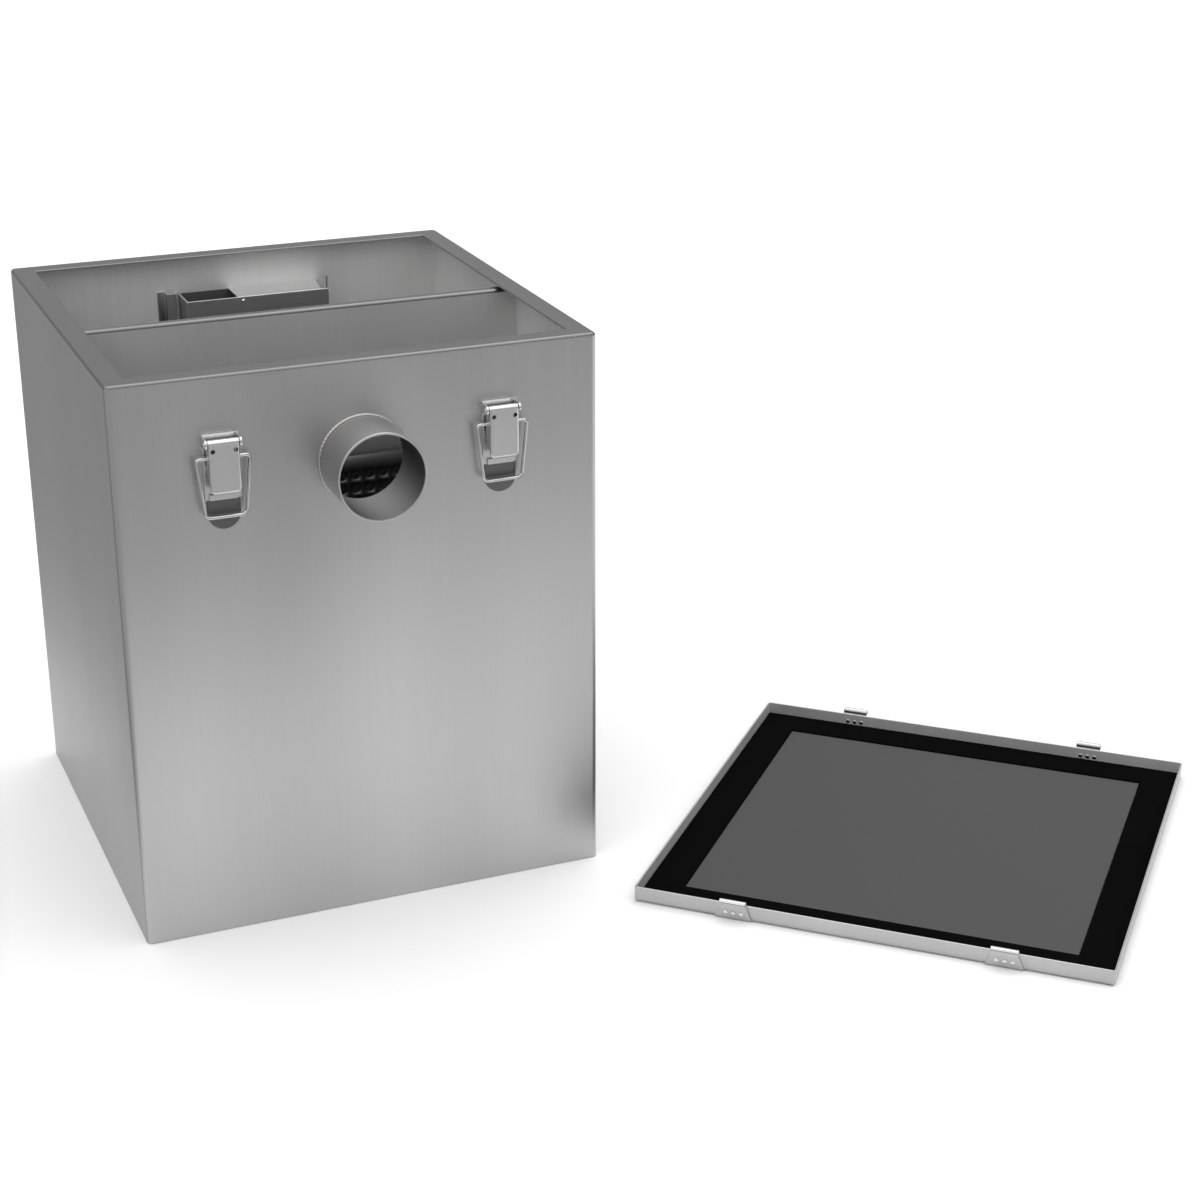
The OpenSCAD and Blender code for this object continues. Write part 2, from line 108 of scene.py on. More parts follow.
joints = {joint["name"]: joint for joint in frame["joints"]}
low, high = corners("tank_front_wall")
half_x, half_y = high[0], -low[1]
top = corners("rim_front")[1][2]
sheet = corners("tank_floor")[1][2]
bend = half_y - corners("tank_left_wall")[1][1]
rim = half_y + corners("rim_front")[1][1]
outside = [round(v / MM) for v in (2 * half_x, 2 * half_y, top)]
print("tank", outside, "mm, sheet", round(sheet / MM, 1))

# %% [markdown]
# ## The camera
# A camera a metre off the floor looks down on the tank, a little from its left. It has a place
# and two angles. It could be aimed with a Track To constraint, but a rotation worked out once
# leaves nothing live in the scene.

# %% The camera
turn, tilt = math.radians(-22.787), math.radians(21.832)
level = math.cos(tilt)
backwards = np.array([math.sin(turn) * level, -math.cos(turn) * level, math.sin(tilt)])

lens = bpy.data.cameras.new("camera")
lens.sensor_width = 36
lens.lens = 71.1
lens.clip_end = 100
camera = bpy.data.objects.new("camera", lens)
camera.location = (-0.5428, -2.0081, 1.0365)
camera.rotation_euler = Vector(-backwards).to_track_quat("-Z", "Y").to_euler()
bpy.context.scene.collection.objects.link(camera)
bpy.context.scene.camera = camera
print("camera", [round(v, 2) for v in camera.location])

# %% [markdown]
# ## Writing a finish as sums
# A finish on steel is a few numbers that vary over the surface. Nodes could be dragged about in
# the Shader Editor, but a long sum is easier to read on one line. So a small class wraps a node's
# output, and + - * / on it add Math nodes. One method makes every other kind of node.

# %% A number that knows its nodes
class Reading:
    """One number of a finish. Sums written with it become Math nodes."""

    def __init__(self, finish, socket):
        self.finish = finish
        self.socket = socket

    def math(self, operation, *terms):
        return self.finish.node("ShaderNodeMath", {"operation": operation}, dict(enumerate(terms)))

    def __add__(self, other):
        return self.math("ADD", self, other)

    def __sub__(self, other):
        return self.math("SUBTRACT", self, other)

    def __rsub__(self, other):
        return self.math("SUBTRACT", other, self)

    def __mul__(self, other):
        return self.math("MULTIPLY", self, other)

    def __truediv__(self, other):
        return self.math("DIVIDE", self, other)

    def __rtruediv__(self, other):
        return self.math("DIVIDE", other, self)

    __radd__ = __add__
    __rmul__ = __mul__

    def between(self, low, high):
        """0 below low, 1 above high, and a straight ramp from one to the other."""
        names = {"Value": self, "From Min": low, "From Max": high}
        return self.finish.node("ShaderNodeMapRange", {"clamp": True}, names)


# %% A finish
class Finish:
    """A material with one Principled shader, and the sums that feed it."""

    def __init__(self, name, **constants):
        self.material = bpy.data.materials.new(name)
        self.material.use_nodes = True
        self.tree = self.material.node_tree
        self.shader = self.tree.nodes["Principled BSDF"]
        for socket, value in constants.items():
            self.shader.inputs[socket.replace("_", " ")].default_value = value
        self.place = self.node("ShaderNodeTexCoord", output="Object")

    def node(self, kind, settings=None, inputs=None, output=0):
        """Adds a node, sets its settings, then fills its sockets with numbers or readings."""
        made = self.tree.nodes.new(kind)
        for name, value in (settings or {}).items():
            setattr(made, name, value)
        for name, value in (inputs or {}).items():
            if isinstance(value, Reading):
                self.tree.links.new(value.socket, made.inputs[name])
            else:
                made.inputs[name].default_value = value
        return Reading(self, made.outputs[output])

    def noise(self, scale, detail=2.0, turned=0.0):
        """Cloudy noise from 0 to 1. scale is waves per metre along X, Y and Z."""
        settings = {"Vector": self.place, "Scale": scale, "Rotation": (0, 0, -turned)}
        where = self.node("ShaderNodeMapping", None, settings)
        settings = {"Vector": where, "Scale": 1.0, "Detail": detail}
        return self.node("ShaderNodeTexNoise", None, settings)

    def along(self, axis):
        """How far along X, Y or Z, in metres."""
        return self.node("ShaderNodeSeparateXYZ", None, {"Vector": self.place}, axis)

    def grey(self, value, tint=(1.0, 1.0, 1.0)):
        """Feeds Base Color with a grey that varies, times a faint tint."""
        parts = {name: value * share for name, share in zip(("Red", "Green", "Blue"), tint)}
        colour = self.node("ShaderNodeCombineColor", None, parts)
        self.feed("Base Color", colour)

    def feed(self, socket, reading):
        self.tree.links.new(reading.socket, self.shader.inputs[socket])

    def relief(self, height, depth):
        """Feeds Normal with a bump: height 0 to 1 stands for depth metres."""
        sockets = {"Height": height, "Distance": depth, "Strength": 1.0}
        self.feed("Normal", self.node("ShaderNodeBump", None, sockets))


print("finish tools ready")

# %% [markdown]
# ## Brushed sheet
# The tank is satin stainless sheet. The mill's brush leaves fine lines all one way, rolling
# leaves broad faint clouds, and the press leaves the sheet not quite flat. Each is a noise
# texture at its own scale: the lines are noise stretched a hundred times along the grain.
# An image could carry the lines, but noise in metres stays sharp and has no seams. The side
# walls and the rim get a darker tone than the front, in place of the darker surroundings that
# they would mirror in a real room.

# %% Brushed sheet
UPRIGHT = (1100, 1100, 7)
SHADE_BAND = (0.33, 0.43)


def painted_shade(steel, clouds, share):
    """How much of its tone the sheet keeps, as painted shade: all of it high up, that share of it
    below 0.33 to 0.43 m, and a fifth of it inside the outlet box, a painted shadow that makes the
    box's open mouth look dark."""
    height, across, behind = steel.along("Z"), steel.along("X"), steel.along("Y")
    (x0, _, _), (x1, _, z1) = corners("outlet_box_front")
    # Painted shade: darker below 0.33 to 0.43 m, with a wavy edge, and a painted shadow inside the
    # outlet box.
    unshaded = (height + (clouds - 0.5) * 0.02).between(*SHADE_BAND)
    box_shadow = across.between(x0, x0 + MM) * (1 - across.between(x1 - MM, x1))
    box_shadow = box_shadow * behind.between(half_y - 3 * MM, half_y - 2.5 * MM)
    box_shadow = box_shadow * (1 - height.between(z1 - MM, z1))
    return (share + unshaded * (1 - share)) * (1 - box_shadow * 0.8)


def brushed(name, tone, gloss, grain=UPRIGHT, turned=0.0, wave=0.0006, cloud=0.16, shade_share=None):
    """Steel of that tone. gloss is its roughness, grain the brush lines' waves per metre, wave the
    sheet's unevenness and cloud its patches. The last argument, if given, is the share of its tone it
    keeps below 0.33 to 0.43 m, as painted shade."""
    steel = Finish(name, Metallic=1.0)
    lines = steel.noise(grain, 3.0, turned)
    streaks = steel.noise([max(1.2, waves / 8) for waves in grain], 2.0, turned)
    bands = steel.noise([max(0.8, waves / 130) for waves in grain], 1.0, turned)
    clouds = steel.noise((5.2, 5.2, 3.4), 2.0)
    slow = steel.noise((2.1, 2.1, 1.3), 1.0)
    shade = tone + (lines - 0.5) * (0.09 * tone) + (streaks - 0.5) * (0.05 * tone)
    shade = shade + (bands - 0.5) * (1.5 * cloud * tone) + (clouds - 0.5) * (cloud * tone)
    # The darker tone low down and in the outlet box is painted shade.
    if shade_share:
        shade = shade * painted_shade(steel, clouds, shade_share)
    steel.grey(shade, (1.0, 0.999, 0.994))
    steel.feed("Roughness", gloss + (streaks - 0.5) * 0.05 + (clouds - 0.5) * 0.12)
    steel.relief(lines * 0.010 + slow * (wave / 0.002), 0.002)
    return steel.material


tank_steel = brushed("tank_steel", 0.48, 0.36)
side_steel = brushed("side_steel", 0.34, 0.36)
rim_steel = brushed("rim_steel", 0.17, 0.36, (1200, 14, 14))
print("walls and rim:", tank_steel.name, side_steel.name, rim_steel.name)

# %% [markdown]
# The other metals differ in tone, gloss and grain. The sheet inside the tank and the baffle are given
# much lighter tones than the walls, as painted light, and they are darker below 0.33 to 0.43 m, as
# painted shade. The dark tones of the pipes' bores and of the basket are painted shade too. A pressed
# part has no grain, so its noise is as coarse in every direction.

# %% Other metals
EVEN = (30, 30, 30)
# Painted light: the inside and the baffle are much lighter than the walls. They keep only a share of
# that tone below 0.33 to 0.43 m, as painted shade.
inner_steel = brushed("inner_steel", 0.90, 0.60, shade_share=0.30)
baffle_steel = brushed("baffle_steel", 0.68, 0.58, shade_share=0.35)
floor_steel = brushed("floor_steel", 0.55, 0.42, (9, 1200, 9))
tube_steel = brushed("tube_steel", 0.46, 0.33, (1100, 6, 1100), wave=0.0002)
# Painted shade: the bore's dark tone stands for the shade inside the tube.
bore_steel = brushed("bore_steel", 0.22, 0.42)
pressed_steel = brushed("pressed_steel", 0.66, 0.27, EVEN, wave=0.0001, cloud=0.2)
dark_pressing = brushed("dark_pressing", 0.15, 0.34, EVEN, wave=0.0001, cloud=0.3)
box_steel = brushed("box_steel", 0.50, 0.34, EVEN, wave=0.0001, cloud=0.2)
bright_steel = brushed("bright_steel", 0.72, 0.15, (40, 40, 40), wave=0.00005, cloud=0.1)
# Painted shade: the basket's very dark tone makes what shows through the inlet pipe look dark.
basket_steel = brushed("basket_steel", 0.10, 0.45, (1400, 1400, 12), wave=0.0002)
wire_steel = brushed("wire_steel", 0.55, 0.20, (40, 40, 40), wave=0.00005, cloud=0.1)
print("metals ready")

# %% [markdown]
# ## Weld, rubber and the lid's liner
# A weld bead is duller than the sheet and faintly stained by its heat. The gasket is closed-cell
# rubber: nearly black, with fine pores. The lid's liner is a grey satin skin.
# None of them has a grain, so each needs only round noise.

# %% Weld, rubber, liner
def plain(name, tone, tint, gloss, pores, depth, cloud=0.2, metallic=0.0, ior=1.5):
    """A surface with no grain: pores is waves per metre, depth the bump's height in metres."""
    finish = Finish(name, Metallic=metallic, IOR=ior)
    fine = finish.noise((pores, pores, pores), 2.0)
    broad = finish.noise((7, 7, 7), 2.0)
    finish.grey(tone + (broad - 0.5) * (cloud * tone) + (fine - 0.5) * (0.25 * tone), tint)
    finish.feed("Roughness", gloss + (broad - 0.5) * 0.12)
    finish.relief(fine, depth)
    return finish.material


STRAW, COLD, NEUTRAL = (1.0, 0.98, 0.95), (1.0, 1.0, 1.02), (1.0, 1.0, 1.0)
weld_metal = plain("weld_metal", 0.42, STRAW, 0.40, 900, 0.0001, 0.3, 1.0)
rubber = plain("rubber", 0.003, COLD, 0.80, 1500, 0.0001, 0.5, ior=1.03)
liner_skin = plain("liner_skin", 0.060, NEUTRAL, 0.55, 2200, 0.00003, 0.06, ior=1.2)
print("weld, rubber and liner ready")

# %% [markdown]
# ## Surfaces from arrays
# Every new piece is a grid of points worked out with numpy: each row is one position of a
# profile, and neighbouring rows are joined with four-sided faces. The shapes could be modelled by
# hand with Extrude and Spin, but a formula keeps them exact and quick to change.

# %% Skins
def volume(points, faces):
    """The signed volume under the faces: each is a fan of triangles, each a tetrahedron."""
    total = 0.0
    for size in {len(face) for face in faces}:
        fan = points[np.array([face for face in faces if len(face) == size])]
        for k in range(1, size - 1):
            total += np.einsum("ij,ij->", fan[:, 0], np.cross(fan[:, k], fan[:, k + 1])) / 6
    return total


def skin(grid, loop_rows=False, loop_columns=True, ends=False):
    """Joins a grid of points (rows x columns x 3) with quads, and closes its two ends with a
    face each if asked. The faces are turned to point outwards."""
    rows, columns = grid.shape[:2]
    down = np.arange(rows if loop_rows else rows - 1)
    across = np.arange(columns if loop_columns else columns - 1)
    i, j = (index.ravel() for index in np.meshgrid(down, across, indexing="ij"))
    below, right = (i + 1) % rows, (j + 1) % columns
    quads = [i * columns + j, i * columns + right, below * columns + right, below * columns + j]
    faces = np.stack(quads, -1).tolist()
    if ends:
        faces.append(list(range(columns))[::-1])
        faces.append(list(range((rows - 1) * columns, rows * columns)))
    points = grid.reshape(-1, 3)
    if volume(points, faces) < 0:
        faces = [face[::-1] for face in faces]
    return points, faces


def together(*skins):
    """Several skins as one."""
    starts = np.cumsum([0] + [len(points) for points, faces in skins])
    moved = [(start + np.array(face)).tolist() for start, (points, faces) in zip(starts, skins)
             for face in faces]
    return np.vstack([points for points, faces in skins]), moved


# %% Pieces
SHARP = math.radians(35)


def piece(name, shape, body, material, stands_for=(), sharp=40, bevel=0.0):
    """Puts a skin into a mesh that rides on a body, smooth, and with soft edges if asked."""
    points, faces = shape
    mesh = bpy.data.meshes.new(name)
    mesh.from_pydata(points.tolist(), [], faces)
    mesh.materials.append(material)
    mesh.polygons.foreach_set("use_smooth", np.ones(len(mesh.polygons), bool))
    mesh.set_sharp_from_angle(angle=math.radians(sharp))
    made = bpy.data.objects.new(name, mesh)
    bpy.context.scene.collection.objects.link(made)
    if bevel:
        soften(made, bevel)
    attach(made, body)
    if stands_for:
        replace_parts(made, *stands_for)
    return made


def soften(made, width):
    """Rounds every edge sharper than 35 degrees, and keeps the flat faces shaded flat."""
    edge = made.modifiers.new("soft edges", "BEVEL")
    edge.width = width
    edge.segments = 2
    edge.limit_method = "ANGLE"
    edge.angle_limit = SHARP
    edge.harden_normals = True


print("ready to make pieces")

# %% [markdown]
# ## The tank's folded shell
# One sheet is bent round four corners, and its top edge is turned inward to make the rim. A cube
# with Solidify would give the size but not the soft bends that catch the light. So the shell is
# a profile, up the outside, over the rim and down the inside, carried round the outline. Guard
# rows beside each bend keep its smooth shading from spreading over the flat sheet.

# %% Bends and outlines
GUARD = 0.6 * MM


def arc(centre, radius, start, end, steps=6):
    """Points of a circle's arc in two dimensions, from start to end in degrees."""
    angle = np.radians(np.linspace(start, end, steps + 1))
    return np.array(centre) + radius * np.stack([np.cos(angle), np.sin(angle)], -1)


def round_outline(x, y, radius, steps=8):
    """A rectangle's outline with round corners: each is a quarter circle between two guards."""
    quarter = np.vstack([[radius, -GUARD], arc((0, 0), radius, 0, 90, steps), [-GUARD, radius]])
    turns = np.array([[[1, 0], [0, 1]], [[0, -1], [1, 0]], [[-1, 0], [0, -1]], [[0, 1], [-1, 0]]])
    centres = np.array([[1, 1], [-1, 1], [-1, -1], [1, -1]]) * (x - radius, y - radius)
    return (np.einsum("kab,nb->kna", turns, quarter) + centres[:, None]).reshape(-1, 2)


def round_the_outline(profile, x, y, radius, least=0.4 * MM):
    """Row i is the outline drawn profile[i, 0] further in, at the height profile[i, 1]. The
    corner's radius shrinks as much as the outline does."""
    rows = [round_outline(x - inset, y - inset, max(radius - inset, least)) for inset, z in profile]
    heights = np.broadcast_to(profile[:, 1, None], (len(rows), len(rows[0])))
    return np.dstack([np.array(rows), heights])


# %% The shell
FOLD = 3 * MM
BURR, FOOT = 0.6 * MM, 0.4 * MM
shell_profile = np.vstack([
    [(0, FOOT), (0, 1 * MM), (0, 0.15), (0, 0.35), (0, top - FOLD - GUARD)],
    arc((FOLD, top - FOLD), FOLD, 180, 90),
    [(FOLD + GUARD, top), (rim - 1 * MM, top)],
    arc((rim - BURR, top - BURR), BURR, 90, 0, 3),
    arc((rim - BURR, top - sheet + BURR), BURR, 0, -90, 3),
    [(rim - 1 * MM, top - sheet), (FOLD + GUARD, top - sheet)],
    arc((FOLD, top - FOLD), FOLD - sheet, 90, 180),
    [(sheet, top - FOLD - GUARD), (sheet, 0.35), (sheet, 0.15), (sheet, sheet), (sheet, 0)],
    [(FOOT, 0)],
])
shell_grid = round_the_outline(shell_profile, half_x, half_y, bend)
shell = piece(
    "tank_shell", skin(shell_grid, loop_rows=True), "tank", tank_steel,
    ["tank_front_wall", "tank_rear_wall", "tank_left_wall", "tank_right_wall",
     "rim_front", "rim_rear", "rim_left", "rim_right"])
for material in (rim_steel, inner_steel, side_steel):
    shell.data.materials.append(material)
print("shell", shell_grid.shape[:2], "points")

# %% [markdown]
# The rim's flat strip is brushed another way, and the side walls and the sheet inside the tank have
# tones of their own, so their faces take other shell materials, picked by where each face lies and
# how it is turned. The darker tones of the rim and the side walls are painted reflection, and the
# lighter tone inside is painted light. Then the two round holes are cut with Boolean modifiers, which
# are applied at once.

# %% Rim, inside and pipe holes
def facing(mesh):
    """Every face's centre and normal, as two arrays."""
    centres = np.empty(3 * len(mesh.polygons), np.float32)
    normals = np.empty_like(centres)
    mesh.polygons.foreach_get("center", centres)
    mesh.polygons.foreach_get("normal", normals)
    return centres.reshape(-1, 3), normals.reshape(-1, 3)


def lathe(profile, centre, along, steps=96):
    """Turns a closed profile of (radius, distance) round an axis through centre, along Y if
    along is (0, 1, 0), and so on."""
    axis = np.array(along, float)
    side = np.array((1.0, 0, 0)) if abs(axis[0]) < 0.9 else np.array((0, 1.0, 0))
    up = np.cross(axis, side)
    angle = np.linspace(0, 2 * math.pi, steps, endpoint=False)[:, None]
    spokes = np.cos(angle) * side + np.sin(angle) * up
    radius, distance = np.array(profile).T
    grid = radius[:, None, None] * spokes + distance[:, None, None] * axis
    return grid + np.array(centre)


def bored(made, *cutters):
    """Cuts the cutters out of a piece and keeps the result as its mesh."""
    for cutter in cutters:
        points, faces = cutter
        mesh = bpy.data.meshes.new("cutter")
        mesh.from_pydata(points.tolist(), [], faces)
        tool = bpy.data.objects.new("cutter", mesh)
        bpy.context.scene.collection.objects.link(tool)
        cut = made.modifiers.new("hole", "BOOLEAN")
        cut.object = tool
        cut.solver = "EXACT"
        seen = made.evaluated_get(bpy.context.evaluated_depsgraph_get())
        made.data = bpy.data.meshes.new_from_object(seen)
        made.modifiers.clear()
        bpy.data.objects.remove(tool)
    made.data.name = made.name
    made.data.set_sharp_from_angle(angle=SHARP)
    return made


centres, normals = facing(shell.data)
RIM, INSIDE, SIDE = 1, 2, 3
kind = np.zeros(len(centres), np.int32)
inside = (np.abs(centres[:, :2]) < (half_x - 1.5 * MM, half_y - 1.5 * MM)).all(1)
kind[np.abs(normals[:, 0]) > 0.8] = SIDE
kind[inside & (centres[:, 2] < top - 1 * MM)] = INSIDE
kind[(centres[:, 2] > top - FOLD) & (normals[:, 2] > 0.3)] = RIM
kind[inside & (np.abs(normals[:, 2]) > 0.5)] = RIM
shell.data.polygons.foreach_set("material_index", kind)

pipes = {side: corners(side + "_pipe") for side in ("inlet", "outlet")}
pipe_r = pipes["inlet"][1][0]
root_r = pipe_r - 0.5 * MM
pipe_z = {side: (low[2] + high[2]) / 2 for side, (low, high) in pipes.items()}
drill = [(root_r, -0.01), (root_r, 0.01)]
bored(shell, *[
    skin(lathe(drill, (0, way * half_y, pipe_z[side]), (0, 1, 0)), ends=True)
    for side, way in (("inlet", -1), ("outlet", 1))
])
print("shell", len(shell.data.polygons), "faces after its two holes")

# %% [markdown]
# ## Plates and folded strips
# Flat parts such as the baffle are a closed profile carried along a straight line: a prism. A
# small Bevel takes the sharpness off its edges, as deburring does on the real sheet.

# %% Prisms
def prism(profile, start, length, along="x"):
    """Carries a closed profile from start over length. The profile is in (y, z) if it goes
    along x, in (x, z) along y and in (x, y) along z."""
    profile = np.array(profile, float)
    place = {"x": (1, 2, 0), "y": (0, 2, 1), "z": (0, 1, 2)}[along]
    grid = np.empty((2, len(profile), 3))
    grid[..., place[0]] = profile[:, 0]
    grid[..., place[1]] = profile[:, 1]
    grid[..., place[2]] = np.array([[start], [start + length]])
    return skin(grid, ends=True)


def block(low, high):
    """A box between two corners."""
    (x0, y0, z0), (x1, y1, z1) = low, high
    return prism([(x0, y0), (x1, y0), (x1, y1), (x0, y1)], z0, z1 - z0, "z")


def softened(name, material, width=0.35 * MM):
    """A copy of a part from the frame, its loose triangles merged and its edges rounded."""
    part = frame["nodes"][name]
    build = bmesh.new()
    build.from_mesh(part.data)
    flat = math.radians(2)
    bmesh.ops.remove_doubles(build, verts=build.verts, dist=1e-6)
    bmesh.ops.dissolve_limit(build, angle_limit=flat, verts=build.verts, edges=build.edges)
    mesh = bpy.data.meshes.new(name + "_sheet")
    build.to_mesh(mesh)
    build.free()
    mesh.materials.clear()
    mesh.materials.append(material)
    mesh.polygons.foreach_set("use_smooth", np.ones(len(mesh.polygons), bool))
    mesh.set_sharp_from_angle(angle=SHARP)
    made = bpy.data.objects.new(name + "_sheet", mesh)
    bpy.context.scene.collection.objects.link(made)
    soften(made, width)
    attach(made, part["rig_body"])
    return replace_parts(made, name)


# %% [markdown]
# ## The baffle
# The baffle stops floating grease. Its top is folded back into a narrow lip that stiffens it, so
# its profile is a hook: up the front, round the fold, out along the lip and back.

# %% The baffle
def repaint(made, material, chosen):
    """Gives the chosen faces another finish."""
    made.data.materials.append(material)
    made.data.polygons.foreach_set("material_index", chosen.astype(np.int32))


low, high = corners("baffle_plate")
front, lip = low[1], high[1]
back, crest = front + sheet, high[2]
baffle_profile = np.vstack([
    [(front, low[2]), (front, 0.2), (front, 0.35), (front, crest - FOLD - GUARD)],
    arc((front + FOLD, crest - FOLD), FOLD, 180, 90),
    [(front + FOLD + GUARD, crest), (lip, crest)],
    [(lip, crest - sheet), (front + FOLD + GUARD, crest - sheet)],
    arc((front + FOLD, crest - FOLD), FOLD - sheet, 90, 180),
    [(back, crest - FOLD - GUARD), (back, 0.35), (back, 0.2), (back, low[2])],
])
baffle = piece(
    "baffle_sheet", prism(baffle_profile, low[0], high[0] - low[0]), "tank",
    baffle_steel, ["baffle_plate"], bevel=0.3 * MM)
# The lip's upward faces take the rim's darker tone, a painted reflection as on the tank's rim.
repaint(baffle, rim_steel, facing(baffle.data)[1][:, 2] > 0.1)
softened("baffle_brackets", inner_steel)
softened("tank_floor", floor_steel)
print("baffle", round(crest / MM), "mm high, lip", round((lip - front) / MM, 1), "mm wide")

# %% [markdown]
# ## The pipes and their welds
# A short tube is welded through the front wall, and another, lower, through the rear one. A tube
# is a closed profile turned round its axis, with rounded lips. The weld is turned as well, but its
# radius rises and falls around the circle, as the welder lays one small puddle over the last.

# %% Pipes
def pipe(side, way):
    """A tube of 2 mm wall with rounded lips. way is -1 in the front wall and 1 in the rear."""
    low, high = pipes[side]
    tip, root = (low[1], high[1]) if way < 0 else (high[1], low[1])
    reach, depth = abs(tip), abs(root)
    bore = pipe_r - sheet
    lip = 0.7 * MM
    wall = half_y + 2.9 * MM
    profile = np.vstack([
        arc((pipe_r - lip, reach - lip), lip, 0, 90, 3),
        arc((bore + lip, reach - lip), lip, 90, 180, 3),
        [(bore, reach - lip - GUARD), (bore, (reach + depth) / 2), (bore, depth)],
        [(root_r, depth), (root_r, wall)],
        [(pipe_r, wall), (pipe_r, wall + GUARD), (pipe_r, reach - lip - GUARD)],
    ])
    tube = lathe(profile, (0, 0, pipe_z[side]), (0, way, 0), 128)
    made = piece(
        side + "_tube", skin(tube, loop_rows=True), "tank", tube_steel,
        [side + "_pipe"])
    centres, normals = facing(made.data)
    outward = ((centres - (0, 0, pipe_z[side])) * normals)[:, ::2].sum(1)
    # The bore's inward faces take the darker steel: painted shade inside the tube.
    repaint(made, bore_steel, outward < -0.5 * bore)


def weld_ring(side, way, puddles=70, steps=840):
    """A bead round the pipe's root: a quarter of an ellipse whose size rises and falls with the
    angle, a little more slowly on its leading side, once a puddle."""
    angle = np.linspace(0, 2 * math.pi, steps, endpoint=False)
    puddle = (angle * puddles / (2 * math.pi)) % 1
    swell = 1 + 0.10 * np.sin(math.pi * puddle) ** 0.6 + 0.05 * np.sin(5 * angle + 1)
    sweep = np.radians(np.linspace(-4, 94, 9))[:, None]
    radius = pipe_r - 0.3 * MM + 2.0 * MM * swell * np.cos(sweep)
    distance = half_y - 0.1 * MM + 1.9 * MM * swell * np.sin(sweep)
    radius = np.vstack([radius, np.full(steps, pipe_r - 0.4 * MM)])
    distance = np.vstack([distance, distance[:1]])
    x, z = radius * np.cos(angle), radius * np.sin(angle)
    ring = np.stack([x * way, distance * way, z + pipe_z[side]], -1)
    return piece(
        side + "_bead", skin(ring, loop_rows=True), "tank", weld_metal,
        [side + "_weld"], sharp=60)


for side, way in (("inlet", -1), ("outlet", 1)):
    pipe(side, way)
    ring = weld_ring(side, way)
    print(side, "pipe", round(2 * pipe_r / MM), "mm, weld", len(ring.data.polygons), "faces")

# %% [markdown]
# ## The outlet box
# Water leaves through a box on the rear wall that draws from low down. Its plates already have
# the right shape in the frame. A copy of each gets rounded edges, because on a mesh of loose
# triangles Bevel would find no edge to round.

# %% The outlet box
for name in ("outlet_box_front", "outlet_box_left", "outlet_box_right"):
    softened(name, box_steel, 0.4 * MM)
softened("outlet_box_cover", bright_steel, 0.4 * MM)
softened("outlet_box_clip", bright_steel, 0.2 * MM)


def dome(centre, along, radius, height, shank, steps=24):
    """A round-headed rivet: the head is half an ellipse over the shank, which runs back."""
    cap = arc((0, 0), 1, 1, 89, 7) * (radius, height)
    profile = np.vstack([[(0.62 * radius, -shank), (0.62 * radius, 0), (radius, 0)], cap])
    return skin(lathe(profile, centre, along, steps), ends=True)


low, high = corners("outlet_box_rivet")
middle = (low + high) / 2
wide, deep = (high[0] - low[0]) / 2, high[1] - low[1]
rivet = dome((middle[0], high[1], middle[2]), (0, -1, 0), wide, deep, 0)
piece("box_rivet", rivet, "tank", bright_steel, ["outlet_box_rivet"])
print("outlet box ready")

# %% [markdown]
# ## The perforated basket
# The basket holds food scraps and lets the water by. It is sheet with rows of punched holes. A
# Boolean with hundreds of cylinders would be slow and ragged, so each hole is one cell of a grid:
# twelve points on the cell's edge joined to twelve points on the hole. Plain margins frame the
# holes, the doubled points are merged, and Solidify gives the sheet its thickness.

# %% Punched sheet
PITCH = 13 * MM
HOLE = 4 * MM
MARGIN = 9 * MM


def points_at(x, y):
    """Points from x and y, where either may be one number for all of them."""
    return np.stack(np.broadcast_arrays(x, y), -1)


